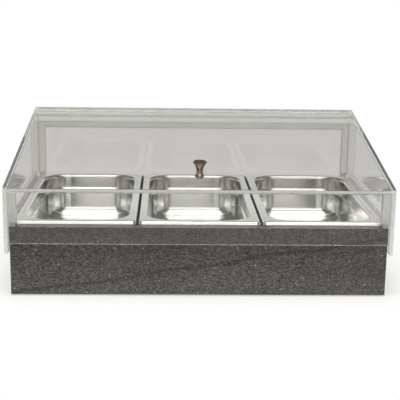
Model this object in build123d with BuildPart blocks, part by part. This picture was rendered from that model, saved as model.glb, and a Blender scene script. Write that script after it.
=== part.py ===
"""Gastronorm cooling box: a laminate box with cold packs inside, three one-third pans that hang
in it by their rims, and a clear hood that drops over it and has a hinged lid.

Millimetres. X runs along the width, the front faces -Y and Z is up. The origin is the centre of
the footprint, on the surface that the feet stand on.
"""

import os
from math import atan, cos, degrees, radians, sin, sqrt, tan

from build123d import *

os.makedirs("parts", exist_ok=True)

# Box of mitred laminate boards, as wide and deep as the row of pans with a ledge left round it
side_ledge = 3.0
end_ledge = 12.5
wall_height = 100.0
board = 14.0
board_edge = 0.5
floor_thickness = 9.0
floor_rebate = 8.0
foot_radius = 12.0
foot_height = 2.0
foot_inset = 28.0

# Loose tongues in the mitres
spline_width = 10.0
spline_thickness = 3.0
spline_height = 70.0
spline_inset = 8.0
joinery_clearance = 0.1

# Screws that hold the floor
screw_radius = 1.75
screw_head_radius = 3.6
screw_head_height = 2.2
screw_length = 26.0
screw_inset = 4.0
screws_per_long_wall = 3
screws_per_short_wall = 1
screw_end_margin = 45.0

# Pans of one third gastronorm size, 65 deep
pan_count = 3
pan_width = 176.0
pan_length = 325.0
pan_depth = 65.0
pan_sheet = 0.8
pan_rim_width = 12.5
pan_rim_height = 5.5
pan_rim_corner = 6.0
pan_rim_bend = 4.5
pan_mouth_bend = 4.5
pan_mouth_corner = 40.0
shoulder_drop = 22.0
shoulder_height = 3.0
shoulder_step = 2.0
bowl_draft = 3.5
bowl_floor_radius = 14.0
pan_gap = 3.0

# Gap left under each piece that only rests on another
rest_gap = 0.3

# Drip tray on the floor
tray_wall = 1.5
tray_height = 20.0
tray_corner = 12.0
tray_draft = 3.0
tray_clearance = 1.5

# Cold packs on the tray
pack_count = 2
pack_margin = 4.0
pack_corner = 18.0
pack_edge = 5.0
pack_channel_width = 8.0
pack_channel_depth = 3.0
pack_channels = 3
cap_radius = 12.0
cap_height = 5.0
cap_inset = 26.0
cap_clearance = 1.0
cap_grip_radius = 1.6
cap_grips = 6

# Hood of clear sheet, with its edges broken and a line of cement in each joint
acrylic = 5.0
sheet_edge = 0.4
glue_line = 0.1
hood_gap = 2.0
side_drop = 38.0
front_drop = 24.0
front_rise = 58.0
rear_rise = 123.0
lid_recess = 1.5
lid_side_clearance = 1.0
post_size = 12.0
post_lift = 6.0
pad_radius = 4.0
pad_edge_margin = 0.5
cross_bar_rise = 95.5
cross_bar_height = 9.5

# Continuous hinge on top of the hood
strip_width = 25.0
hinge_slot = 1.5
leaf_width = 24.0
leaf_thickness = 1.6
barrel_radius = 2.5
barrel_lift = 0.3
barrel_sweep = 0.8
knuckle_count = 11
knuckle_gap = 0.5
pin_radius = 1.2
pin_clearance = 0.05
pin_setback = 2.0

# Knob and its screw
knob_from_edge = 55.0
knob_height = 21.0
knob_base_radius = 7.0
knob_base_edge = 1.2
knob_neck_radius = 4.8
knob_neck_height = 7.0
knob_top_radius = 10.1
knob_top_edge = 1.0
knob_top_fillet = 0.5
knob_screw_radius = 2.0
knob_screw_grip = 12.0
knob_screw_head_radius = 4.2
knob_screw_head_height = 2.8
knob_screw_head_fillet = 1.2
screw_recess_radius = 1.1
screw_recess_depth = 1.4
washer_radius = 6.0
washer_thickness = 1.0
screw_clearance = 0.1

# Levels and faces that follow from the sizes above
pan_pitch = pan_width + pan_gap
box_width = (pan_count - 1) * pan_pitch + pan_width + 2 * side_ledge
box_depth = pan_length + 2 * end_ledge
box_top = foot_height + wall_height
cavity_width = box_width - 2 * board
cavity_depth = box_depth - 2 * board
floor_top = foot_height + floor_thickness
floor_width = cavity_width + 2 * floor_rebate
floor_depth = cavity_depth + 2 * floor_rebate
rim_bottom = box_top + rest_gap
rim_top = rim_bottom + pan_rim_height
mouth_width = pan_width - 2 * pan_rim_width
mouth_length = pan_length - 2 * pan_rim_width
tray_floor_top = floor_top + tray_wall
pack_thickness = rim_top - pan_depth - rest_gap - tray_floor_top
hood_inner_x = box_width / 2 + hood_gap
hood_inner_y = box_depth / 2 + hood_gap
hood_outer_x = hood_inner_x + acrylic
hood_outer_y = hood_inner_y + acrylic
post_bottom = box_top + post_lift
lid_slope = atan((rear_rise - front_rise) / (2 * hood_outer_y))
lid_front_z = box_top + front_rise - lid_recess / cos(lid_slope)
slope_length = 2 * hood_outer_y / cos(lid_slope)
lid_width = 2 * (hood_inner_x - lid_side_clearance)
lid_length = slope_length - strip_width - hinge_slot
hinge_along = lid_length + hinge_slot / 2
hinge_up = glue_line + barrel_lift + barrel_radius
knuckle_pitch = lid_width / knuckle_count


def on_slope(along, up=0.0):
    """Y and Z of a point measured up the lid's top face from its front edge, and square off it."""
    y = -hood_outer_y + along * cos(lid_slope) - up * sin(lid_slope)
    z = lid_front_z + along * sin(lid_slope) + up * cos(lid_slope)
    return y, z


def slope_z(y, drop):
    """Height at depth y of the plane that lies `drop` under the lid's top face."""
    return lid_front_z + (y + hood_outer_y) * tan(lid_slope) - drop / cos(lid_slope)


def spread(count, span):
    """Evenly spaced places over a span that is centred on zero."""
    step = span / (count - 1) if count > 1 else 0.0
    return [step * (i - (count - 1) / 2) for i in range(count)]


def finish(name, piece):
    """Label a finished piece and write it to its own file."""
    piece.label = name
    export_step(piece, f"parts/{name}.step")


slope_normal = (0, -sin(lid_slope), cos(lid_slope))
lid_plane = Plane(origin=(0, *on_slope(0)), x_dir=(1, 0, 0), z_dir=slope_normal)


# Joinery that more than one board is cut for
def corner_tongues(grow):
    """Four tongues, one square across each mitre, grown on every side for the slots."""
    middle = spline_inset / sqrt(2)
    bottom = foot_height + (wall_height - spline_height) / 2 - grow
    with BuildPart() as tongues:
        with BuildSketch(Plane.XY.offset(bottom)):
            for side in (-1, 1):
                for end in (-1, 1):
                    x = side * (cavity_width / 2 + middle)
                    y = end * (cavity_depth / 2 + middle)
                    with Locations((x, y)):
                        Rectangle(spline_width + 2 * grow, spline_thickness + 2 * grow, rotation=-45 * side * end)
        extrude(amount=spline_height + 2 * grow)
    return tongues.part


def floor_screw_places():
    """Screw places under the walls, as X and Y."""
    places = []
    for x in spread(screws_per_long_wall, cavity_width - 2 * screw_end_margin):
        places += [(x, side * (cavity_depth / 2 + screw_inset)) for side in (-1, 1)]
    for y in spread(screws_per_short_wall, cavity_depth - 2 * screw_end_margin):
        places += [(side * (cavity_width / 2 + screw_inset), y) for side in (-1, 1)]
    return places


def countersunk_screws(grow):
    """The floor's screws, head down, grown for the holes that they pass through."""
    with BuildPart() as screws:
        with BuildSketch(Plane.XY.offset(foot_height)):
            with Locations(*floor_screw_places()):
                Circle(screw_radius + grow)
        extrude(amount=screw_length + grow)
        with Locations(*[(x, y, foot_height) for x, y in floor_screw_places()]):
            Cone(
                screw_head_radius + grow,
                screw_radius + grow,
                screw_head_height + grow,
                align=(Align.CENTER, Align.CENTER, Align.MIN),
            )
    return screws.part


tongue_slots = corner_tongues(joinery_clearance)
screw_holes = countersunk_screws(joinery_clearance)

with BuildPart() as floor_rebate_cut:
    with BuildSketch(Plane.XY.offset(foot_height)):
        Rectangle(floor_width, floor_depth)
    extrude(amount=floor_thickness)


def mitred_wall(run, span, turn):
    """A board whose outer face is `run` long and half of `span` from the centre, turned about Z."""
    place = Plane.XY.offset(foot_height).rotated((0, 0, turn))
    outer = -span / 2
    inner = outer + board
    with BuildPart() as wall:
        with BuildSketch(place):
            with BuildLine():
                Polyline(
                    (-run / 2, outer),
                    (run / 2, outer),
                    (run / 2 - board, inner),
                    (-run / 2 + board, inner),
                    close=True,
                )
            make_face()
        extrude(amount=wall_height)
        chamfer(wall.edges().group_by(Axis.Z)[-1].sort_by(SortBy.LENGTH)[-2:], board_edge)
        add(floor_rebate_cut.part, mode=Mode.SUBTRACT)
        add(tongue_slots, mode=Mode.SUBTRACT)
        add(screw_holes, mode=Mode.SUBTRACT)
    return wall.part


finish("front_wall", mitred_wall(box_width, box_depth, 0))
finish("right_wall", mitred_wall(box_depth, box_width, 90))
finish("rear_wall", mitred_wall(box_width, box_depth, 180))
finish("left_wall", mitred_wall(box_depth, box_width, 270))
finish("corner_tongues", corner_tongues(0))
finish("floor_screws", countersunk_screws(0))

# Floor board, in the rebate of the walls and flush under them
with BuildPart() as floor_board:
    with BuildSketch(Plane.XY.offset(foot_height)):
        Rectangle(floor_width, floor_depth)
    extrude(amount=floor_thickness)
    add(screw_holes, mode=Mode.SUBTRACT)
finish("floor_board", floor_board.part)

# Rubber feet under the corners
with BuildPart() as feet:
    with BuildSketch():
        with GridLocations(box_width - 2 * foot_inset, box_depth - 2 * foot_inset, 2, 2):
            Circle(foot_radius)
    extrude(amount=foot_height)
finish("feet", feet.part)

# Drip tray, drawn with leaning sides and open on top
tray_lean = tray_height * tan(radians(tray_draft))
tray_width = cavity_width - 2 * tray_clearance - 2 * tray_lean
tray_depth = cavity_depth - 2 * tray_clearance - 2 * tray_lean
with BuildPart() as drip_tray:
    with BuildSketch(Plane.XY.offset(floor_top)):
        RectangleRounded(tray_width, tray_depth, tray_corner)
    extrude(amount=tray_height, taper=-tray_draft)
    with BuildSketch(Plane.XY.offset(tray_floor_top)):
        RectangleRounded(tray_width - 2 * tray_wall, tray_depth - 2 * tray_wall, tray_corner - tray_wall)
    extrude(amount=tray_height - tray_wall, taper=-tray_draft, mode=Mode.SUBTRACT)
finish("drip_tray", drip_tray.part)

# Cold packs, side by side on the tray
pack_pitch = (tray_width - 2 * tray_wall) / pack_count
pack_width = pack_pitch - 2 * pack_margin
pack_length = tray_depth - 2 * tray_wall - 2 * pack_margin
pack_top = tray_floor_top + pack_thickness


def cold_pack(x):
    """A blow-moulded pack with channels across its top and a well for the filler cap."""
    with BuildPart() as pack:
        with BuildSketch(Plane((x, 0, tray_floor_top))):
            RectangleRounded(pack_width, pack_length, pack_corner)
        extrude(amount=pack_thickness)
        chamfer(pack.faces().filter_by(Axis.Z).edges(), pack_edge)
        with BuildSketch(Plane((x, 0, pack_top))):
            with GridLocations(0, pack_length / (pack_channels + 1), 1, pack_channels):
                SlotOverall(pack_width - 4 * pack_edge, pack_channel_width)
        extrude(amount=-pack_channel_depth, mode=Mode.SUBTRACT)
        with BuildSketch(Plane((x, -pack_length / 2 + cap_inset, pack_top))):
            Circle(cap_radius + cap_clearance)
        extrude(amount=-cap_height, mode=Mode.SUBTRACT)
    return pack.part


def filler_cap(x):
    """A flat cap with grip notches round its edge, flush with the top of the pack."""
    place = Plane((x, -pack_length / 2 + cap_inset, pack_top - cap_height))
    with BuildPart() as cap:
        with BuildSketch(place):
            Circle(cap_radius)
            with PolarLocations(cap_radius, cap_grips):
                Circle(cap_grip_radius, mode=Mode.SUBTRACT)
        extrude(amount=cap_height)
    return cap.part


for side, x in zip(("left", "right"), spread(pack_count, pack_pitch * (pack_count - 1))):
    finish(f"cold_pack_{side}", cold_pack(x))
    finish(f"filler_cap_{side}", filler_cap(x))


# Deep drawn pans
def bowl(grow):
    """The bowl as a solid, to its inside faces, or to its outside ones when grown by the sheet."""
    wall_end = rim_top - shoulder_drop - grow
    shoulder_end = wall_end - shoulder_height
    bottom = rim_top - pan_depth + pan_sheet - grow
    waist_width = mouth_width - 2 * shoulder_step
    waist_length = mouth_length - 2 * shoulder_step
    with BuildPart() as body:
        with BuildSketch(Plane.XY.offset(rim_top)):
            RectangleRounded(mouth_width + 2 * grow, mouth_length + 2 * grow, pan_mouth_corner + grow)
        extrude(amount=wall_end - rim_top)
        with BuildSketch(Plane.XY.offset(wall_end)):
            RectangleRounded(mouth_width + 2 * grow, mouth_length + 2 * grow, pan_mouth_corner + grow)
        extrude(amount=-shoulder_height, taper=degrees(atan(shoulder_step / shoulder_height)))
        with BuildSketch(Plane.XY.offset(shoulder_end)):
            RectangleRounded(
                waist_width + 2 * grow,
                waist_length + 2 * grow,
                pan_mouth_corner - shoulder_step + grow,
            )
        extrude(amount=bottom - shoulder_end, taper=bowl_draft)
        fillet(body.faces().sort_by(Axis.Z)[0].edges(), bowl_floor_radius + grow)
    return body.part


bowl_outside = bowl(pan_sheet)
bowl_inside = bowl(0)

# The space under the rim, between its turned-down edge and the bowl
with BuildPart() as rim_space:
    with BuildSketch(Plane.XY.offset(rim_bottom)):
        RectangleRounded(
            pan_width - 2 * pan_sheet,
            pan_length - 2 * pan_sheet,
            pan_rim_corner - pan_sheet,
        )
    extrude(amount=pan_rim_height - pan_sheet)
    fillet(rim_space.faces().sort_by(Axis.Z)[-1].edges(), pan_rim_bend - pan_sheet)
    add(bowl_outside, mode=Mode.SUBTRACT)
    under_rim = rim_space.faces().sort_by(Axis.Z)[-1]
    fillet(under_rim.inner_wires().edges(), pan_mouth_bend - pan_sheet)


def pan(x):
    """A pan of one sheet thickness, its rim bent over the mouth and turned down outside."""
    with BuildPart() as body:
        with BuildSketch(Plane.XY.offset(rim_bottom)):
            RectangleRounded(pan_width, pan_length, pan_rim_corner)
        extrude(amount=pan_rim_height)
        fillet(body.faces().sort_by(Axis.Z)[-1].edges(), pan_rim_bend)
        add(bowl_outside)
        add(bowl_inside, mode=Mode.SUBTRACT)
        rim = body.faces().sort_by(Axis.Z)[-1]
        fillet(rim.inner_wires().edges(), pan_mouth_bend)
        add(rim_space.part, mode=Mode.SUBTRACT)
    return body.part.moved(Location((x, 0, 0)))


for side, x in zip(("left", "middle", "right"), spread(pan_count, pan_pitch * (pan_count - 1))):
    finish(f"pan_{side}", pan(x))


# Hood, of clear sheet
def sheet_along_x(outline, start, end):
    """A sheet or bar from its outline in Y and Z, from start to end along X, its edges broken."""
    with BuildPart() as sheet:
        with BuildSketch(Plane.YZ.offset(start)):
            with BuildLine():
                Polyline(*outline, close=True)
            make_face()
        extrude(amount=end - start)
        chamfer(sheet.edges(), sheet_edge)
    return sheet.part


side_outline = [
    (-hood_outer_y, box_top - side_drop),
    (-hood_outer_y, box_top + front_rise),
    (hood_outer_y, box_top + rear_rise),
    (hood_outer_y, box_top - side_drop),
]
finish("hood_side_left", sheet_along_x(side_outline, -hood_outer_x, -hood_inner_x))
finish("hood_side_right", sheet_along_x(side_outline, hood_inner_x, hood_outer_x))

between = hood_inner_x - glue_line
under_lid = acrylic + rest_gap
front_outline = [
    (-hood_outer_y, box_top - front_drop),
    (-hood_inner_y, box_top - front_drop),
    (-hood_inner_y, slope_z(-hood_inner_y, under_lid)),
    (-hood_outer_y, slope_z(-hood_outer_y, under_lid)),
]
finish("hood_front", sheet_along_x(front_outline, -between, between))
back_outline = [
    (hood_inner_y, box_top - front_drop),
    (hood_outer_y, box_top - front_drop),
    (hood_outer_y, slope_z(hood_outer_y, acrylic + glue_line)),
    (hood_inner_y, slope_z(hood_inner_y, acrylic + glue_line)),
]
finish("hood_back", sheet_along_x(back_outline, -between, between))
strip_outline = [
    on_slope(slope_length - strip_width, -acrylic),
    on_slope(slope_length - strip_width),
    (hood_outer_y, slope_z(hood_outer_y, 0)),
    (hood_outer_y, slope_z(hood_outer_y, acrylic)),
]
finish("hood_top_strip", sheet_along_x(strip_outline, -between, between))

# Corner posts, the front ones cut to the slope under the lid, and a bar between the rear ones
post_outer_y = hood_inner_y - glue_line
post_inner_y = post_outer_y - post_size
cross_bar_top = box_top + cross_bar_rise
front_post_outline = [
    (-post_outer_y, post_bottom),
    (-post_inner_y, post_bottom),
    (-post_inner_y, slope_z(-post_inner_y, under_lid)),
    (-post_outer_y, slope_z(-post_outer_y, under_lid)),
]
rear_post_outline = [
    (post_inner_y, post_bottom),
    (post_outer_y, post_bottom),
    (post_outer_y, cross_bar_top),
    (post_inner_y, cross_bar_top),
]
for end, outline in (("front", front_post_outline), ("rear", rear_post_outline)):
    finish(f"hood_post_{end}_left", sheet_along_x(outline, -between, post_size - between))
    finish(f"hood_post_{end}_right", sheet_along_x(outline, between - post_size, between))
bar_outline = [
    (post_inner_y, cross_bar_top - cross_bar_height),
    (post_outer_y, cross_bar_top - cross_bar_height),
    (post_outer_y, cross_bar_top),
    (post_inner_y, cross_bar_top),
]
bar_end = between - post_size - glue_line
finish("hood_cross_bar", sheet_along_x(bar_outline, -bar_end, bar_end))

# Soft pads on which the posts stand on the box
with BuildPart() as pads:
    with BuildSketch(Plane.XY.offset(box_top + rest_gap)):
        pad_x = box_width / 2 - pad_edge_margin - pad_radius
        pad_y = box_depth / 2 - pad_edge_margin - pad_radius
        with GridLocations(2 * pad_x, 2 * pad_y, 2, 2):
            Circle(pad_radius)
    extrude(amount=post_lift - rest_gap)
finish("hood_pads", pads.part)


# Continuous hinge, its leaves on the top faces of the strip and the lid
def across_at(x):
    """The plane square to the hinge's axis at x."""
    return Plane(origin=(x, *on_slope(hinge_along, hinge_up)), z_dir=(1, 0, 0))


def hinge_leaf(direction, first):
    """A leaf that runs up the slope (+1) or down it (-1), with every second knuckle from `first`."""
    own = range(first, knuckle_count, 2)
    other = range(1 - first, knuckle_count, 2)
    start = -lid_width / 2
    own_planes = [across_at(start + i * knuckle_pitch + knuckle_gap / 2) for i in own]
    other_planes = [across_at(start + i * knuckle_pitch - knuckle_gap / 2) for i in other]
    with BuildPart() as leaf:
        with BuildSketch(lid_plane.offset(glue_line)):
            with Locations((0, hinge_along + direction * leaf_width / 2)):
                Rectangle(lid_width, leaf_width)
        extrude(amount=leaf_thickness)
        with BuildSketch(*other_planes):
            Circle(barrel_radius + barrel_sweep)
        extrude(amount=knuckle_pitch + knuckle_gap, mode=Mode.SUBTRACT)
        with BuildSketch(*own_planes):
            Circle(barrel_radius)
        extrude(amount=knuckle_pitch - knuckle_gap)
        with BuildSketch(across_at(start)):
            Circle(pin_radius + pin_clearance)
        extrude(amount=lid_width, mode=Mode.SUBTRACT)
    return leaf.part


finish("hinge_fixed_leaf", hinge_leaf(1, 0))
finish("hinge_moving_leaf", hinge_leaf(-1, 1))

with BuildPart() as hinge_pin:
    with BuildSketch(across_at(-lid_width / 2 + pin_setback)):
        Circle(pin_radius)
    extrude(amount=lid_width - 2 * pin_setback)
finish("hinge_pin", hinge_pin.part)

# Lid, with the hole for the knob's screw
with BuildPart() as lid:
    with BuildSketch(lid_plane):
        with Locations((0, lid_length / 2)):
            Rectangle(lid_width, lid_length)
        with Locations((0, knob_from_edge)):
            Circle(knob_screw_radius + screw_clearance, mode=Mode.SUBTRACT)
    extrude(amount=-acrylic)
    chamfer(lid.edges().filter_by(GeomType.LINE), sheet_edge)
finish("lid", lid.part)

# Knob, turned, on top of the lid
knob_foot = (0, *on_slope(knob_from_edge))
knob_profile_plane = Plane(origin=knob_foot, x_dir=(1, 0, 0), z_dir=(0, -cos(lid_slope), -sin(lid_slope)))
knob_face_plane = Plane(origin=knob_foot, x_dir=(1, 0, 0), z_dir=slope_normal)
with BuildPart() as knob:
    with BuildSketch(knob_profile_plane):
        with BuildLine():
            base_end = (knob_base_radius, knob_base_edge)
            neck = (knob_neck_radius, knob_neck_height)
            top_end = (knob_top_radius, knob_height - knob_top_edge)
            TangentArc(neck, base_end, tangent=(0, -1))
            TangentArc(neck, top_end, tangent=(0, 1))
            Polyline(top_end, (knob_top_radius, knob_height), (0, knob_height), (0, 0), (knob_base_radius, 0), base_end)
        make_face()
    revolve(axis=Axis(knob_foot, slope_normal))
    fillet(knob.edges().filter_by(GeomType.CIRCLE).sort_by(Axis.Z)[-1], knob_top_fillet)
    with BuildSketch(knob_face_plane):
        Circle(knob_screw_radius + screw_clearance)
    extrude(amount=knob_screw_grip + screw_clearance, mode=Mode.SUBTRACT)
finish("knob", knob.part)

# Washer and screw, from under the lid
with BuildPart() as knob_washer:
    with BuildSketch(knob_face_plane.offset(-acrylic)):
        Circle(washer_radius)
        Circle(knob_screw_radius + screw_clearance, mode=Mode.SUBTRACT)
    extrude(amount=-washer_thickness)
finish("knob_washer", knob_washer.part)

screw_seat = -acrylic - washer_thickness
with BuildPart() as knob_screw:
    with BuildSketch(knob_face_plane.offset(screw_seat)):
        Circle(knob_screw_head_radius)
    extrude(amount=-knob_screw_head_height)
    fillet(knob_screw.edges().filter_by(GeomType.CIRCLE).sort_by(Axis.Z)[0], knob_screw_head_fillet)
    with BuildSketch(knob_face_plane.offset(screw_seat - knob_screw_head_height)):
        RegularPolygon(screw_recess_radius, 6)
    extrude(amount=screw_recess_depth, mode=Mode.SUBTRACT)
    with BuildSketch(knob_face_plane.offset(screw_seat)):
        Circle(knob_screw_radius)
    extrude(amount=knob_screw_grip - screw_seat)
finish("knob_screw", knob_screw.part)
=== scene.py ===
"""Finishes every piece of the gastronorm cooling box on its packed frame, and stages it."""

from math import cos, radians, sin

import bpy
from bpy.props import FloatProperty, FloatVectorProperty, PointerProperty
from bpy.types import Operator, Panel, PropertyGroup
from mathutils import Matrix, Vector


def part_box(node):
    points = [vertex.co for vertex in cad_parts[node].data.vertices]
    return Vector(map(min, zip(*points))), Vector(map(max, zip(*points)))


bl_info = {
    "name": "Gastronorm cooling box",
    "version": (1, 0, 0),
    "blender": (4, 5, 0),
    "location": "View3D > Sidebar > Cooling Box",
    "description": "Finishes the boards, pans, hood and fittings of a cooling box and stages them",
    "category": "Object",
}

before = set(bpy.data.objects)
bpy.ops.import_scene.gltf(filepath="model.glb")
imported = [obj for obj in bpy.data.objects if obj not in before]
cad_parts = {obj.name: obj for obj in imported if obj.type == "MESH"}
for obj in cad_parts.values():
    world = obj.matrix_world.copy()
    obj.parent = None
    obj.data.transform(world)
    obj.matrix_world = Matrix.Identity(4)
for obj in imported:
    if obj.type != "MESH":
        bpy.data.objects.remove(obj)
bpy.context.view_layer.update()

BOARDS = ("front_wall", "rear_wall", "left_wall", "right_wall", "floor_board")
COLD_PACKS = ("cold_pack_left", "cold_pack_right")
FILLER_CAPS = ("filler_cap_left", "filler_cap_right")
PANS = ("pan_left", "pan_middle", "pan_right")
FROSTED_BARS = (
    "hood_post_front_left",
    "hood_post_front_right",
    "hood_post_rear_left",
    "hood_post_rear_right",
    "hood_cross_bar",
)
SIDE_SHEETS = ("hood_side_left", "hood_side_right")
UPRIGHT_SHEETS = ("hood_front", "hood_back")
SLOPING_SHEETS = ("lid", "hood_top_strip")
HINGE = ("hinge_fixed_leaf", "hinge_moving_leaf", "hinge_pin")
BRIGHT_STEEL = ("knob_screw", "knob_washer", "floor_screws")

# Refractive indices
LAMINATE_IOR = 1.5
SHEET_IOR = 1.49
SOFT_PLASTIC_IOR = 1.42

# The longest dark vein on the front board: its slant, then its height at the middle, how far
# it wanders, and the half widths of its darkest part and of its soft edge, in metres
VEIN_SLANT = radians(8.8)
VEIN_HEIGHT = 0.0445
VEIN_WANDER = 0.018
VEIN_CORE, VEIN_EDGE = 0.0006, 0.0045
VEIN_DEPTH = 0.75

# The stone's grain: its slant, the stretch of the coarse grain and the scale of the fine grain
# for a grain of 1 m, and how far the grain lightens and darkens the stone
GRAIN_SLANT = radians(6)
COARSE_GRAIN = (0.45, 0.45, 0.9)
FINE_GRAIN = 1.7
GRAIN_CONTRAST = 12.0
DARKEST_GRAIN = 0.2

# Two sets of pale specks: gap against the setting, size against the gap, and strength
CRYSTALS = ((1.0, 0.11, 0.75), (0.45, 0.16, 0.35))

# A sheet's face is an edge if it looks this little along the sheet's own direction, and an edge
# is level if it looks this much up or down
EDGE_LIMIT = 0.95
LEVEL_LIMIT = 0.5

# The white table top, in metres: where it ends in front and elsewhere, half of the box's length
# and depth, and how far the shadow reaches. Then its white, and the share of plain white that
# the camera sees right beside the box
TABLE_FRONT = -0.33
TABLE_REACH = 6.0
HALF_LENGTH, HALF_DEPTH = 0.27, 0.175
SHADOW_REACH = 0.155
TABLE_WHITE = (0.86, 0.86, 0.86, 1)
NEAR_WHITE = 0.4
WHITE = (1, 1, 1, 1)

# The room by direction: x to the right, y to the rear and z up, each from -1 to 1. Each pair
# says where a soft border begins and where it ends
AHEAD = (0.1, 0.3)
AHEAD_SIDES = (0.35, 0.5)
WINDOW_FOOT, WINDOW_HEAD = (-0.04, 0.08), (0.60, 0.72)
SKYLIGHT, SKYLIGHT_AHEAD = (0.90, 0.95), (0.76, 0.82)
BACKDROP_HEAD = (0.28, 0.40)
BACKDROP_BEHIND = (0.1, 0.3)
BACKDROP_AROUND = (-0.6, -0.3)
HORIZON = (-0.05, 0.02)

# How fast the walls go over to the ceiling's colour, and how much of it they have at eye level
CEILING_RISE, CEILING_SHARE = 0.5, 0.3

# Each lamp's setting, size and place in metres, and the spot that all of them look at
LAMPS = {
    "Key Lamp": ("key", (1.5, 1.0), (-0.35, -0.75, 1.9)),
    "Fill Lamp": ("fill", (0.9, 0.9), (1.9, -0.9, 0.9)),
}
LAMP_TARGET = Vector((0, 0, 0.1))

SENSOR_WIDTH = 36
NEAREST, FARTHEST = 0.05, 50


# Settings


def color_setting(name, description, default):
    """A colour that the panel shows as a swatch."""
    return FloatVectorProperty(
        name=name, description=description, default=default, size=3, min=0, max=1, subtype="COLOR"
    )


def share_setting(name, description, default):
    """A value between nothing and all."""
    return FloatProperty(
        name=name, description=description, default=default, min=0, max=1, subtype="FACTOR"
    )


def length_setting(name, description, default):
    """A length in metres, shown in the scene's unit."""
    return FloatProperty(
        name=name, description=description, default=default, min=0.0001, unit="LENGTH"
    )


def angle_setting(name, description, degrees):
    """An angle, given in degrees."""
    return FloatProperty(
        name=name, description=description, default=radians(degrees), subtype="ANGLE"
    )


def strength_setting(name, description, default):
    """The strength or power of a light."""
    return FloatProperty(name=name, description=description, default=default, min=0)


class BoardSettings(PropertyGroup):
    """Stone-effect laminate of the box."""

    ground: color_setting("Ground", "Main colour of the stone", (0.067, 0.0585, 0.052))
    vein: color_setting("Veins", "Colour of the darker veins", (0.026, 0.023, 0.022))
    crystal: color_setting("Crystals", "Colour of the pale specks", (0.52, 0.49, 0.45))
    grain: length_setting("Grain", "Size of the stone's grain", 0.0022)
    crystal_gap: length_setting("Crystal Gap", "Distance between pale specks", 0.008)
    gloss: share_setting("Roughness", "Roughness of the laminate", 0.36)


class PanSettings(PropertyGroup):
    """Drawn stainless steel of the pans."""

    steel: color_setting("Steel", "Colour of the steel", (0.86, 0.862, 0.85))
    haze: color_setting("Haze", "Colour of the steel where it is hazy", (0.77, 0.772, 0.745))
    polish: share_setting("Roughness", "Roughness of the polished steel", 0.18)


class HoodSettings(PropertyGroup):
    """Clear sheet and frosted bars of the hood."""

    sheet: color_setting("Sheet", "Tint of the sheet", (0.865, 0.858, 0.842))
    edge: color_setting("Edge", "Colour of the sheet's sawn edges", (0.98, 0.965, 0.87))
    bar: color_setting("Bar", "Colour of the posts and the bar", (0.98, 0.965, 0.95))
    hinge: color_setting("Hinge", "Tint of the hinge", (0.86, 0.87, 0.85))
    edge_roughness: share_setting("Edge Roughness", "Roughness of the sawn edges", 0.3)
    flame_roughness: share_setting(
        "Flamed Roughness", "Roughness of the flame-polished edges", 0.04
    )
    bar_roughness: share_setting("Bar Roughness", "Roughness of the posts and the bar", 0.28)
    hinge_roughness: share_setting("Hinge Roughness", "Roughness of the hinge", 0.12)


class FittingSettings(PropertyGroup):
    """Knob, screws, feet, pads, tray and cold packs."""

    bronze: color_setting("Bronze", "Dark bronze of the knob", (0.31, 0.25, 0.185))
    bronze_worn: color_setting("Worn Bronze", "Bronze that hands have polished", (0.42, 0.36, 0.29))
    steel: color_setting("Screw Steel", "Bright steel of the screws", (0.60, 0.60, 0.60))
    rubber: color_setting("Rubber", "Rubber of the feet", (0.02, 0.02, 0.02))
    pad: color_setting("Pad", "Soft clear pads under the posts", (0.85, 0.85, 0.82))
    tray: color_setting("Tray", "White plastic of the tray", (0.78, 0.79, 0.80))
    cold_pack: color_setting("Cold Pack", "Pale plastic of the cold packs", (0.58, 0.70, 0.82))
    cap: color_setting("Cap", "Blue plastic of the filler caps", (0.03, 0.10, 0.34))
    tongue: color_setting("Tongue", "Bare wood of the tongues", (0.55, 0.39, 0.22))


class StageSettings(PropertyGroup):
    """Camera, lamps and surroundings."""

    camera_place: FloatVectorProperty(
        name="Camera Place",
        description="Where the camera stands",
        default=(-0.0479, -1.5094, 0.4516),
        subtype="XYZ",
        unit="LENGTH",
    )
    heading: angle_setting("Heading", "Camera's turn to the right", 2.03)
    tilt: angle_setting("Tilt", "Camera's tilt downwards", 13.04)
    roll: angle_setting("Roll", "Camera's roll", -0.83)
    lens: FloatProperty(
        name="Lens", description="Focal length in millimetres", default=87.26, min=1
    )
    key: strength_setting("Key Lamp", "Power of the overhead soft lamp in watts", 11)
    fill: strength_setting("Fill Lamp", "Power of the side lamp in watts", 4)
    room: strength_setting("Room Light", "Strength of the room's own light", 1.0)
    window_light: strength_setting("Window Light", "Strength of the window behind the camera", 2.0)
    ceiling_light: strength_setting("Skylight", "Strength of the soft light overhead", 3.2)
    wall: color_setting("Walls", "Colour of the room's walls", (0.075, 0.068, 0.055))
    ceiling: color_setting("Ceiling", "Colour of the room's upper part", (0.20, 0.19, 0.17))
    window: color_setting("Window", "Colour of the window behind the camera", (0.93, 0.97, 1.0))
    skylight: color_setting("Skylight Colour", "Colour of the light overhead", (1.0, 0.99, 0.975))


SETTINGS = {
    "cooling_box_boards": BoardSettings,
    "cooling_box_pans": PanSettings,
    "cooling_box_hood": HoodSettings,
    "cooling_box_fittings": FittingSettings,
    "cooling_box_stage": StageSettings,
}


# Nodes


def place(tree, kind, inputs=None, **settings):
    """Adds a node, sets its options, and fills its inputs with values or other nodes' outputs."""
    made = tree.nodes.new(kind)
    for name, value in settings.items():
        setattr(made, name, value)
    for name, value in (inputs or {}).items():
        if isinstance(value, bpy.types.NodeSocket):
            tree.links.new(value, made.inputs[name])
        else:
            made.inputs[name].default_value = value
    return made


def math(tree, operation, *values):
    """The result of a math node on values or sockets."""
    return place(tree, "ShaderNodeMath", dict(enumerate(values)), operation=operation).outputs[0]


def inverse(tree, share):
    """What the share leaves of the whole."""
    return math(tree, "SUBTRACT", 1.0, share)


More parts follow.
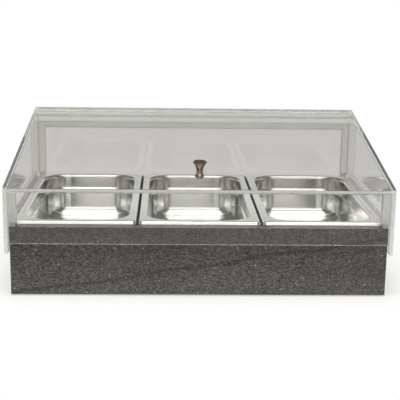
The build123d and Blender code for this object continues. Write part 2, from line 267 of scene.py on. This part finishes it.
def ramp(tree, value, low, high):
    """Value taken from low..high to 0..1, with soft ends."""
    made = place(
        tree,
        "ShaderNodeMapRange",
        {"Value": value, "From Min": low, "From Max": high},
        interpolation_type="SMOOTHSTEP",
    )
    return made.outputs["Result"]


def blend(tree, share, first, second):
    """First colour going over to the second."""
    made = place(tree, "ShaderNodeMix", {"Factor": share}, data_type="RGBA")
    for socket, value in ((made.inputs[6], first), (made.inputs[7], second)):
        if isinstance(value, bpy.types.NodeSocket):
            tree.links.new(value, socket)
        else:
            socket.default_value = (*value, 1)
    return made.outputs[2]


def scaled(color, factor):
    """The colour made darker or lighter."""
    return [factor * part for part in color]


def lightened(color, factor):
    """The colour made lighter, up to white."""
    return [min(1.0, part) for part in scaled(color, factor)]


def own_place(tree):
    """The piece's own coordinates, in metres."""
    return place(tree, "ShaderNodeTexCoord").outputs["Object"]


def stretched(tree, turn, stretch):
    """The piece's own coordinates, turned and stretched."""
    inputs = {"Vector": own_place(tree), "Rotation": turn, "Scale": stretch}
    return place(tree, "ShaderNodeMapping", inputs).outputs["Vector"]


def noise(tree, vector, scale=1.0, detail=3.0, roughness=0.55, distortion=0.0):
    """Soft noise between 0 and 1."""
    inputs = {
        "Vector": vector,
        "Scale": scale,
        "Detail": detail,
        "Roughness": roughness,
        "Distortion": distortion,
    }
    return place(tree, "ShaderNodeTexNoise", inputs).outputs["Fac"]


def new_group(name, inputs, outputs):
    """A shader node group with float inputs and their defaults, and float outputs."""
    group = bpy.data.node_groups.new(name, "ShaderNodeTree")
    for label, default in inputs.items():
        socket = group.interface.new_socket(label, in_out="INPUT", socket_type="NodeSocketFloat")
        socket.default_value = default
    for label in outputs:
        group.interface.new_socket(label, in_out="OUTPUT", socket_type="NodeSocketFloat")
    return group, place(group, "NodeGroupInput"), place(group, "NodeGroupOutput")


def handling_marks():
    """Smudges and hairline scratches: a roughness that varies, and the scratches' height."""
    name = "Handling Marks"
    if name in bpy.data.node_groups:
        return bpy.data.node_groups[name]
    defaults = {"Roughness": 0.2, "Spread": 0.05, "Scale": 12.0}
    group, given, result = new_group(name, defaults, ("Roughness", "Height"))
    spread = given.outputs["Spread"]
    smudge = noise(group, own_place(group), scale=given.outputs["Scale"], detail=4)
    hairs = stretched(group, turn=(0.3, 0.2, 0.5), stretch=(900, 40, 900))
    scratch = ramp(group, noise(group, hairs, detail=1), 0.66, 0.8)
    centred = math(group, "SUBTRACT", smudge, 0.5)
    varied = math(group, "MULTIPLY_ADD", centred, spread, given.outputs["Roughness"])
    rough = math(group, "MULTIPLY_ADD", scratch, math(group, "MULTIPLY", spread, 0.5), varied)
    group.links.new(math(group, "MAXIMUM", rough, 0.0), result.inputs["Roughness"])
    group.links.new(scratch, result.inputs["Height"])
    return group


def fine_grain():
    """The fine texture of moulded plastic and rubber, as a mask and a height."""
    name = "Fine Grain"
    if name in bpy.data.node_groups:
        return bpy.data.node_groups[name]
    group, given, result = new_group(name, {"Scale": 900.0}, ("Mask", "Height"))
    own = own_place(group)
    mask = ramp(group, noise(group, own, scale=30.0), 0.3, 0.7)
    group.links.new(mask, result.inputs["Mask"])
    group.links.new(noise(group, own, scale=given.outputs["Scale"]), result.inputs["Height"])
    return group


def sheet_edges():
    """Geometry nodes that give a sheet's edges their materials: flamed if level, else sawn."""
    name = "Sheet Edges"
    if name in bpy.data.node_groups:
        return bpy.data.node_groups[name]
    group = bpy.data.node_groups.new(name, "GeometryNodeTree")
    inputs = {
        "Geometry": "NodeSocketGeometry",
        "Face": "NodeSocketVector",
        "Sawn": "NodeSocketMaterial",
        "Flamed": "NodeSocketMaterial",
    }
    for label, kind in inputs.items():
        group.interface.new_socket(label, in_out="INPUT", socket_type=kind)
    group.interface.new_socket("Geometry", in_out="OUTPUT", socket_type="NodeSocketGeometry")
    given, result = place(group, "NodeGroupInput"), place(group, "NodeGroupOutput")
    normal = place(group, "GeometryNodeInputNormal").outputs["Normal"]
    pair = {0: normal, 1: given.outputs["Face"]}
    along = place(group, "ShaderNodeVectorMath", pair, operation="DOT_PRODUCT").outputs["Value"]
    upward = place(group, "ShaderNodeSeparateXYZ", {"Vector": normal}).outputs["Z"]
    edge = math(group, "LESS_THAN", math(group, "ABSOLUTE", along), EDGE_LIMIT)
    level = math(group, "GREATER_THAN", math(group, "ABSOLUTE", upward), LEVEL_LIMIT)
    painted = given.outputs["Geometry"]
    for chosen, label in ((edge, "Sawn"), (math(group, "MULTIPLY", edge, level), "Flamed")):
        inputs = {"Geometry": painted, "Selection": chosen, "Material": given.outputs[label]}
        painted = place(group, "GeometryNodeSetMaterial", inputs).outputs["Geometry"]
    group.links.new(painted, result.inputs["Geometry"])
    return group


def new_material(name, **sockets):
    """A material, its tree and its shader, with plain values on the shader's own sockets."""
    material = bpy.data.materials.new(name)
    material.use_nodes = True
    shader = material.node_tree.nodes["Principled BSDF"]
    for label, value in sockets.items():
        shader.inputs[label.replace("_", " ")].default_value = value
    return material, material.node_tree, shader


def color_with(tree, shader, share, first, second):
    """Gives the shader the first colour, going over to the second."""
    tree.links.new(blend(tree, share, first, second), shader.inputs["Base Color"])


def roughen(tree, shader, share, spread, least):
    """Gives the shader a roughness from the least value upwards, by the spread."""
    rough = math(tree, "MULTIPLY_ADD", share, spread, least)
    tree.links.new(rough, shader.inputs["Roughness"])


def mark(tree, shader, roughness, spread, scale):
    """Gives the shader the roughness of handling marks, and returns the scratches' height."""
    inputs = {"Roughness": roughness, "Spread": spread, "Scale": scale}
    marks = place(tree, "ShaderNodeGroup", inputs, node_tree=handling_marks())
    tree.links.new(marks.outputs["Roughness"], shader.inputs["Roughness"])
    return marks.outputs["Height"]


def bump(tree, shader, height, distance, strength):
    """Raises the shader's surface by the height, at most by the distance in metres."""
    inputs = {"Height": height, "Distance": distance, "Strength": strength}
    made = place(tree, "ShaderNodeBump", inputs)
    tree.links.new(made.outputs["Normal"], shader.inputs["Normal"])


def mix_to_output(tree, output, share, first, second):
    """Gives the output the first shader, going over to the second."""
    inputs = {0: share, 1: first.outputs[0], 2: second.outputs[0]}
    mixed = place(tree, "ShaderNodeMixShader", inputs)
    tree.links.new(mixed.outputs["Shader"], tree.nodes[output].inputs["Surface"])


def let_light_through(tree, shader, tint):
    """Light for shadows goes straight through the shader's surface."""
    shadow = place(tree, "ShaderNodeLightPath").outputs["Is Shadow Ray"]
    straight = place(tree, "ShaderNodeBsdfTransparent", {"Color": (*tint, 1)})
    mix_to_output(tree, "Material Output", shadow, shader, straight)


def finish(names, material):
    """Gives the material to pieces of the frame."""
    for name in names:
        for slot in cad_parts[name].material_slots:
            slot.material = material


def finish_sheet(name, faces, sawn, flamed, direction):
    """Finishes a sheet that looks along the direction, with its edges in their own materials."""
    finish((name,), faces)
    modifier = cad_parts[name].modifiers.new("Sheet Edges", "NODES")
    modifier.node_group = sheet_edges()
    sockets = {
        item.name: item.identifier
        for item in modifier.node_group.interface.items_tree
        if item.in_out == "INPUT"
    }
    modifier[sockets["Face"]] = direction
    modifier[sockets["Sawn"]] = sawn
    modifier[sockets["Flamed"]] = flamed


# Materials


def vein_share(tree, own):
    """How far each spot of the stone is vein: one long dark vein, and a softer flow round it."""
    wander = noise(tree, stretched(tree, turn=(0, 0, 0), stretch=(9, 9, 30)), detail=4)
    turned = place(
        tree,
        "ShaderNodeVectorRotate",
        {"Vector": own, "Angle": VEIN_SLANT},
        rotation_type="Y_AXIS",
    )
    parts = place(tree, "ShaderNodeSeparateXYZ", {"Vector": turned.outputs["Vector"]})
    above = math(tree, "SUBTRACT", parts.outputs["Z"], VEIN_HEIGHT)
    centred = math(tree, "SUBTRACT", wander, 0.5)
    distance = math(tree, "ABSOLUTE", math(tree, "MULTIPLY_ADD", centred, VEIN_WANDER, above))
    longest = inverse(tree, ramp(tree, distance, VEIN_CORE, VEIN_EDGE))
    flow = stretched(tree, turn=(0, VEIN_SLANT, 0), stretch=(2.6, 2.6, 22))
    others = ramp(tree, noise(tree, flow, detail=5, roughness=0.62, distortion=0.7), 0.52, 0.70)
    return math(tree, "MULTIPLY", math(tree, "MAXIMUM", longest, others), VEIN_DEPTH)


def stone_grain(tree, own, size):
    """The stone's coarse and fine grain together, between 0 and 1."""
    stretch = [part / size for part in COARSE_GRAIN]
    slanting = stretched(tree, turn=(0, GRAIN_SLANT, 0), stretch=stretch)
    coarse = noise(tree, slanting, detail=3, roughness=0.7)
    fine = noise(tree, own, scale=FINE_GRAIN / size, detail=2, roughness=0.7)
    return math(tree, "MULTIPLY_ADD", fine, 0.5, math(tree, "MULTIPLY", coarse, 0.5))


def crystal_share(tree, own, gap, size, strength):
    """Where pale specks lie, with the given gap between them. Only some of them are bright."""
    cell = place(tree, "ShaderNodeTexVoronoi", {"Vector": own, "Scale": 1 / gap})
    near = inverse(tree, ramp(tree, cell.outputs["Distance"], size * 0.6, size * 1.6))
    pick = place(tree, "ShaderNodeSeparateColor", {"Color": cell.outputs["Color"]})
    kept = math(tree, "MULTIPLY", near, ramp(tree, pick.outputs["Red"], 0.5, 1.0))
    return math(tree, "MULTIPLY", kept, strength)


def stone_laminate(settings):
    """Dark stone with long slanting veins, coarse grain and pale specks, under a film."""
    material, tree, shader = new_material("Stone Laminate", IOR=LAMINATE_IOR)
    own = own_place(tree)
    tone = blend(tree, vein_share(tree, own), settings.ground, settings.vein)
    grain = stone_grain(tree, own, settings.grain)
    cloud = math(tree, "MULTIPLY_ADD", noise(tree, own, scale=5.0, detail=2), 0.6, 0.7)
    centred = math(tree, "SUBTRACT", grain, 0.5)
    light = math(tree, "MULTIPLY_ADD", centred, GRAIN_CONTRAST, cloud)
    inputs = {0: tone, "Scale": math(tree, "MAXIMUM", light, DARKEST_GRAIN)}
    stone = place(tree, "ShaderNodeVectorMath", inputs, operation="SCALE").outputs["Vector"]
    for gap, size, strength in CRYSTALS:
        share = crystal_share(tree, own, settings.crystal_gap * gap, size, strength)
        stone = blend(tree, share, stone, settings.crystal)
    tree.links.new(stone, shader.inputs["Base Color"])
    mark(tree, shader, settings.gloss, spread=0.10, scale=30)
    bump(tree, shader, grain, distance=0.0002, strength=0.35)
    return material


def drawn_steel(settings):
    """Polished stainless steel with a faint haze and the slight ripple that drawing leaves."""
    material, tree, shader = new_material("Drawn Steel", Metallic=1.0)
    own = own_place(tree)
    haze = ramp(tree, noise(tree, own, scale=14.0, detail=4), 0.35, 0.75)
    color_with(tree, shader, haze, settings.steel, settings.haze)
    mark(tree, shader, settings.polish, spread=0.06, scale=18)
    ripple = noise(tree, own, scale=32.0, detail=1)
    bump(tree, shader, ripple, distance=0.0004, strength=0.04)
    return material


def clear_sheet(settings):
    """Clear sheet with polished faces and a faintly uneven tint."""
    material, tree, shader = new_material(
        "Clear Sheet", IOR=SHEET_IOR, Transmission_Weight=1.0, Roughness=0.0
    )
    cloud = ramp(tree, noise(tree, own_place(tree), scale=4.0, detail=2), 0.3, 0.7)
    color_with(tree, shader, cloud, settings.sheet, scaled(settings.sheet, 0.985))
    let_light_through(tree, shader, settings.sheet)
    return material


def sawn_edge(settings):
    """The sheet's sawn edges, which gather light and show the saw's marks, with painted glints:
    patches where their colour is lightened towards white.
    """
    material, tree, shader = new_material("Sawn Edge", IOR=SHEET_IOR, Transmission_Weight=0.25)
    own = own_place(tree)
    saw_marks = noise(tree, own, scale=260.0, roughness=0.7)
    # Painted glints: the edge colour goes over to a lightened copy of itself in random patches.
    painted_glint = ramp(tree, noise(tree, own, scale=55.0, detail=2), 0.35, 0.7)
    color_with(tree, shader, painted_glint, settings.edge, lightened(settings.edge, 1.2))
    roughen(tree, shader, saw_marks, spread=0.2, least=settings.edge_roughness - 0.1)
    bump(tree, shader, saw_marks, distance=0.0003, strength=0.4)
    let_light_through(tree, shader, settings.sheet)
    return material


def flamed_edge(settings):
    """Edges that a flame has polished, clear, with painted glints: uneven patches where the tint
    goes over to a lightened edge colour.
    """
    material, tree, shader = new_material("Flamed Edge", IOR=SHEET_IOR, Transmission_Weight=0.85)
    own = own_place(tree)
    # Painted glints: patches where the clear tint goes over to the lightened edge colour. The same
    # patches are also a little rougher.
    painted_glint = ramp(tree, noise(tree, own, scale=120.0, roughness=0.7), 0.4, 0.65)
    color_with(tree, shader, painted_glint, settings.sheet, lightened(settings.edge, 1.1))
    roughen(tree, shader, painted_glint, spread=0.1, least=settings.flame_roughness)
    bump(tree, shader, noise(tree, own, scale=90.0, detail=2), distance=0.0005, strength=0.35)
    let_light_through(tree, shader, settings.sheet)
    return material


def frosted_bar(settings):
    """Bars of the same sheet, whose sawn faces are frosted all over."""
    material, tree, shader = new_material("Frosted Bar", IOR=SHEET_IOR, Transmission_Weight=0.85)
    cloud = noise(tree, own_place(tree), scale=60.0)
    color_with(tree, shader, cloud, settings.bar, scaled(settings.bar, 0.9))
    scratches = mark(tree, shader, settings.bar_roughness, spread=0.03, scale=80)
    bump(tree, shader, scratches, distance=0.0001, strength=0.1)
    return material


def clear_hinge(settings):
    """Moulded clear plastic, a little cloudier than the sheet."""
    material, tree, shader = new_material("Clear Hinge", IOR=SHEET_IOR, Transmission_Weight=0.9)
    grain = place(tree, "ShaderNodeGroup", {"Scale": 400}, node_tree=fine_grain()).outputs
    color_with(tree, shader, grain["Mask"], settings.hinge, scaled(settings.hinge, 0.95))
    roughen(tree, shader, grain["Mask"], spread=0.06, least=settings.hinge_roughness)
    let_light_through(tree, shader, settings.sheet)
    return material


def metal(name, base, worn, roughness, scale):
    """Turned metal, in another colour where it is worn."""
    material, tree, shader = new_material(name, Metallic=1.0)
    wear = ramp(tree, noise(tree, own_place(tree), scale=scale, detail=4), 0.4, 0.7)
    color_with(tree, shader, wear, base, worn)
    scratches = mark(tree, shader, roughness, spread=0.12, scale=scale)
    bump(tree, shader, scratches, distance=0.0001, strength=0.2)
    return material


def moulded(name, base, roughness, scale, **sockets):
    """Moulded plastic or rubber with a fine grain."""
    material, tree, shader = new_material(name, **sockets)
    grain = place(tree, "ShaderNodeGroup", {"Scale": scale}, node_tree=fine_grain()).outputs
    color_with(tree, shader, grain["Mask"], base, scaled(base, 0.88))
    roughen(tree, shader, grain["Mask"], spread=0.1, least=roughness)
    bump(tree, shader, grain["Height"], distance=0.0002, strength=0.4)
    return material


def bare_wood(base):
    """Plain wood with its grain upright."""
    material, tree, shader = new_material("Bare Wood", Roughness=0.7)
    rings = noise(tree, stretched(tree, turn=(0, 0, 0), stretch=(900, 900, 25)), detail=4)
    color_with(tree, shader, ramp(tree, rings, 0.35, 0.7), base, scaled(base, 0.6))
    bump(tree, shader, rings, distance=0.0002, strength=0.4)
    return material


# Stage


def floor_material():
    """Matt white that keeps the shadow near the box, and goes over to the plain background."""
    material = bpy.data.materials.new("Floor")
    material.use_nodes = True
    tree = material.node_tree
    tree.nodes.remove(tree.nodes["Principled BSDF"])
    way = place(tree, "ShaderNodeLightPath").outputs
    direct = math(tree, "MAXIMUM", way["Is Camera Ray"], way["Is Transmission Ray"])
    seen = math(tree, "MAXIMUM", direct, way["Is Glossy Ray"])
    x, y = place(tree, "ShaderNodeSeparateXYZ", {"Vector": own_place(tree)}).outputs[:2]
    beside = math(tree, "SUBTRACT", math(tree, "ABSOLUTE", x), HALF_LENGTH)
    before = math(tree, "SUBTRACT", math(tree, "ABSOLUTE", y), HALF_DEPTH)
    away = ramp(tree, math(tree, "MAXIMUM", beside, before), 0.0, SHADOW_REACH)
    plain = math(tree, "MULTIPLY_ADD", away, 1 - NEAR_WHITE, NEAR_WHITE)
    matte = place(tree, "ShaderNodeBsdfDiffuse", {"Color": TABLE_WHITE})
    glow = place(tree, "ShaderNodeEmission", {"Color": WHITE, "Strength": 1.0})
    share = math(tree, "MULTIPLY", seen, plain)
    mix_to_output(tree, "Material Output", share, matte, glow)
    return material


def lay_floor():
    """A wide white table top, open towards the camera's room."""
    mesh = bpy.data.meshes.new("floor")
    corners = [
        (-TABLE_REACH, TABLE_FRONT, 0),
        (TABLE_REACH, TABLE_FRONT, 0),
        (TABLE_REACH, TABLE_REACH, 0),
        (-TABLE_REACH, TABLE_REACH, 0),
    ]
    mesh.from_pydata(corners, [], [(0, 1, 2, 3)])
    floor = bpy.data.objects.new("floor", mesh)
    bpy.context.scene.collection.objects.link(floor)
    mesh.materials.append(floor_material())


def room_color(tree, settings, x, y, z):
    """Dim walls and ceiling, with a window ahead and a soft light overhead, by direction."""
    sides = inverse(tree, ramp(tree, math(tree, "ABSOLUTE", x), *AHEAD_SIDES))
    forward = ramp(tree, math(tree, "MULTIPLY", y, -1.0), *AHEAD)
    ahead = math(tree, "MULTIPLY", forward, sides)
    pane = math(
        tree,
        "MULTIPLY",
        ramp(tree, z, *WINDOW_FOOT),
        inverse(tree, ramp(tree, z, *WINDOW_HEAD)),
    )
    window = math(tree, "MULTIPLY", ahead, pane)
    sky_ahead = math(tree, "MULTIPLY", ahead, ramp(tree, z, *SKYLIGHT_AHEAD))
    sky = math(tree, "MAXIMUM", ramp(tree, z, *SKYLIGHT), sky_ahead)
    height = math(tree, "MULTIPLY_ADD", z, CEILING_RISE, CEILING_SHARE)
    room = blend(tree, height, settings.wall, settings.ceiling)
    room = blend(tree, window, room, scaled(settings.window, settings.window_light))
    return blend(tree, sky, room, scaled(settings.skylight, settings.ceiling_light))


def white_share(tree, y, z):
    """Where a ray sees plain white: all over from the camera, else a low backdrop.

    Mirrors see the backdrop all round except ahead. Clear sheet shows it behind, and below.
    """
    way = place(tree, "ShaderNodeLightPath").outputs
    low = inverse(tree, ramp(tree, z, *BACKDROP_HEAD))
    behind = math(tree, "MULTIPLY", ramp(tree, y, *BACKDROP_BEHIND), low)
    around = math(tree, "MULTIPLY", ramp(tree, y, *BACKDROP_AROUND), low)
    below = inverse(tree, ramp(tree, z, *HORIZON))
    backdrop = math(tree, "MAXIMUM", behind, below)
    through = math(tree, "MULTIPLY", way["Is Transmission Ray"], backdrop)
    mirrored = math(tree, "MULTIPLY", way["Is Glossy Ray"], around)
    return math(tree, "MAXIMUM", way["Is Camera Ray"], math(tree, "MAXIMUM", through, mirrored))


def light_room(settings):
    """A white background, and a studio's lights and walls for steel and sheet to mirror."""
    world = bpy.data.worlds.new("Room")
    bpy.context.scene.world = world
    world.use_nodes = True
    tree = world.node_tree
    toward = place(tree, "ShaderNodeTexCoord").outputs["Generated"]
    x, y, z = place(tree, "ShaderNodeSeparateXYZ", {"Vector": toward}).outputs
    inputs = {"Color": room_color(tree, settings, x, y, z), "Strength": settings.room}
    room = place(tree, "ShaderNodeBackground", inputs)
    white = place(tree, "ShaderNodeBackground", {"Color": WHITE, "Strength": 1.0})
    mix_to_output(tree, "World Output", white_share(tree, y, z), room, white)


def hang_lamp(name, power, size, spot):
    """A soft rectangular lamp that looks at the box.

    Mirrors and clear sheet show the room's own lights in its place.
    """
    data = bpy.data.lights.new(name, "AREA")
    data.shape = "RECTANGLE"
    data.size, data.size_y = size
    data.energy = power
    lamp = bpy.data.objects.new(name, data)
    bpy.context.scene.collection.objects.link(lamp)
    lamp.visible_glossy = lamp.visible_transmission = False
    lamp.location = spot
    aim = LAMP_TARGET - Vector(spot)
    lamp.rotation_euler = aim.to_track_quat("-Z", "Y").to_euler()


def set_camera(settings):
    """The camera, turned, tilted and rolled as the settings say."""
    data = bpy.data.cameras.new("Camera")
    data.sensor_width = SENSOR_WIDTH
    data.lens = settings.lens
    data.clip_start, data.clip_end = NEAREST, FARTHEST
    camera = bpy.data.objects.new("Camera", data)
    scene = bpy.context.scene
    scene.collection.objects.link(camera)
    heading, tilt, roll = settings.heading, settings.tilt, settings.roll
    ahead = Vector((sin(heading) * cos(tilt), cos(heading) * cos(tilt), -sin(tilt)))
    level = Vector((cos(heading), -sin(heading), 0))
    below = ahead.cross(level)
    right = cos(roll) * level + sin(roll) * below
    down = cos(roll) * below - sin(roll) * level
    turn = Matrix((right, -down, -ahead)).transposed()
    camera.matrix_world = Matrix.Translation(settings.camera_place) @ turn.to_4x4()
    scene.camera = camera


# Operators


class COOLINGBOX_OT_boards(Operator):
    """Finish the boards, tongues and feet of the box"""

    bl_idname = "cooling_box.boards"
    bl_label = "Boards and Feet"

    def execute(self, context):
        fittings = context.scene.cooling_box_fittings
        finish(BOARDS, stone_laminate(context.scene.cooling_box_boards))
        finish(("corner_tongues",), bare_wood(fittings.tongue))
        finish(("feet",), moulded("Foot Rubber", fittings.rubber, roughness=0.7, scale=700))
        return {"FINISHED"}


class COOLINGBOX_OT_cooling(Operator):
    """Finish the drip tray, the cold packs and their caps"""

    bl_idname = "cooling_box.cooling"
    bl_label = "Tray and Cold Packs"

    def execute(self, context):
        fittings = context.scene.cooling_box_fittings
        tray = moulded("Tray Plastic", fittings.tray, roughness=0.25, scale=500)
        pack = moulded("Pack Plastic", fittings.cold_pack, roughness=0.4, scale=350)
        cap = moulded("Cap Plastic", fittings.cap, roughness=0.35, scale=600)
        finish(("drip_tray",), tray)
        finish(COLD_PACKS, pack)
        finish(FILLER_CAPS, cap)
        return {"FINISHED"}


class COOLINGBOX_OT_pans(Operator):
    """Finish the drawn steel pans"""

    bl_idname = "cooling_box.pans"
    bl_label = "Pans"

    def execute(self, context):
        finish(PANS, drawn_steel(context.scene.cooling_box_pans))
        return {"FINISHED"}


class COOLINGBOX_OT_hood(Operator):
    """Finish the hood's clear sheets, frosted bars, hinge and pads"""

    bl_idname = "cooling_box.hood"
    bl_label = "Hood and Lid"

    def execute(self, context):
        settings = context.scene.cooling_box_hood
        low, high = (Vector(corner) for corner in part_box("lid"))
        slope = high - low
        square_to_slope = Vector((0, -slope.z, slope.y)).normalized()
        directions = {
            SIDE_SHEETS: (1, 0, 0),
            UPRIGHT_SHEETS: (0, 1, 0),
            SLOPING_SHEETS: square_to_slope,
        }
        faces, sawn, flamed = clear_sheet(settings), sawn_edge(settings), flamed_edge(settings)
        for names, direction in directions.items():
            for name in names:
                finish_sheet(name, faces, sawn, flamed, direction)
        finish(FROSTED_BARS, frosted_bar(settings))
        finish(HINGE, clear_hinge(settings))
        pad = moulded(
            "Soft Pad",
            context.scene.cooling_box_fittings.pad,
            roughness=0.35,
            scale=500,
            Transmission_Weight=0.6,
            IOR=SOFT_PLASTIC_IOR,
        )
        finish(("hood_pads",), pad)
        return {"FINISHED"}


class COOLINGBOX_OT_knob(Operator):
    """Finish the turned knob, and every screw and washer"""

    bl_idname = "cooling_box.knob"
    bl_label = "Knob and Screws"

    def execute(self, context):
        fittings = context.scene.cooling_box_fittings
        bronze = metal(
            "Knob Bronze", fittings.bronze, fittings.bronze_worn, roughness=0.26, scale=160
        )
        bright = metal(
            "Screw Steel", fittings.steel, scaled(fittings.steel, 0.8), roughness=0.3, scale=300
        )
        finish(("knob",), bronze)
        finish(BRIGHT_STEEL, bright)
        return {"FINISHED"}


class COOLINGBOX_OT_stage(Operator):
    """Make the floor, the surroundings, the lamps and the camera"""

    bl_idname = "cooling_box.stage"
    bl_label = "Stage"

    def execute(self, context):
        settings = context.scene.cooling_box_stage
        lay_floor()
        light_room(settings)
        for name, (power, size, spot) in LAMPS.items():
            hang_lamp(name, getattr(settings, power), size, spot)
        set_camera(settings)
        context.scene.view_settings.view_transform = "Standard"
        return {"FINISHED"}


class COOLINGBOX_PT_sidebar(Panel):
    """Lists the steps and their settings"""

    bl_idname = "COOLINGBOX_PT_sidebar"
    bl_label = "Cooling Box"
    bl_space_type = "VIEW_3D"
    bl_region_type = "UI"
    bl_category = "Cooling Box"

    def draw(self, context):
        layout = self.layout
        for step in STEPS:
            layout.operator(step.bl_idname)
        for name, group in SETTINGS.items():
            box = layout.box()
            box.label(text=group.__doc__)
            for setting in group.__annotations__:
                box.prop(getattr(context.scene, name), setting)


STEPS = (
    COOLINGBOX_OT_boards,
    COOLINGBOX_OT_cooling,
    COOLINGBOX_OT_pans,
    COOLINGBOX_OT_hood,
    COOLINGBOX_OT_knob,
    COOLINGBOX_OT_stage,
)
CLASSES = (*SETTINGS.values(), *STEPS, COOLINGBOX_PT_sidebar)


def register():
    for cls in CLASSES:
        bpy.utils.register_class(cls)
    for name, group in SETTINGS.items():
        setattr(bpy.types.Scene, name, PointerProperty(type=group))


def unregister():
    for name in SETTINGS:
        delattr(bpy.types.Scene, name)
    for cls in reversed(CLASSES):
        bpy.utils.unregister_class(cls)


def main():
    register()
    bpy.ops.cooling_box.boards()
    bpy.ops.cooling_box.cooling()
    bpy.ops.cooling_box.pans()
    bpy.ops.cooling_box.hood()
    bpy.ops.cooling_box.knob()
    bpy.ops.cooling_box.stage()


if __name__ == "__main__":
    main()
